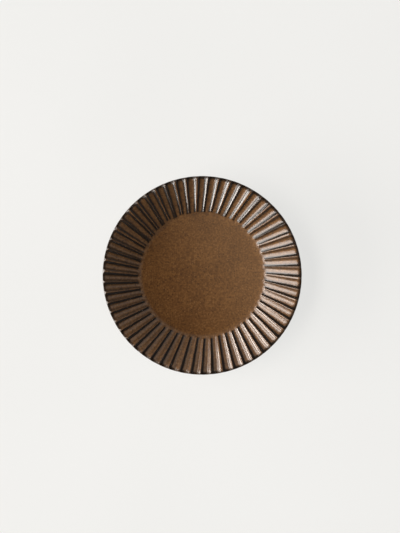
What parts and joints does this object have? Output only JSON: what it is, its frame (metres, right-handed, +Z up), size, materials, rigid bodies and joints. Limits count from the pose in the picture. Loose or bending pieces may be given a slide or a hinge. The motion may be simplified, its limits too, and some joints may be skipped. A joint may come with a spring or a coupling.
{
  "type": "fluted plate",
  "caption": "Small round stoneware plate with a smooth dished well, a sloping rim of hand-cut flutes, a bare foot ring and a dark bronze-brown glaze, for serving food.",
  "frame": {"origin": "middle of the foot ring's underside, on the surface that the plate stands on", "axes": "+Z up along the axis of the plate, +X and +Y across it"},
  "size_m": [0.16, 0.16, 0.025],
  "materials": {
    "stoneware": "bare fired iron-bearing stoneware, fine sandy grain",
    "face_glaze": "dark bronze-brown satin glaze with fine speckle, glossier in the flutes",
    "back_glaze": "dark bronze-brown satin glaze with turning lines"
  },
  "bodies": {
    "root": {"clay_body": "stoneware", "foot_ring": "stoneware", "face_glaze": "face_glaze", "back_glaze": "back_glaze", "base_glaze": "back_glaze"}
  },
  "joints": []
}
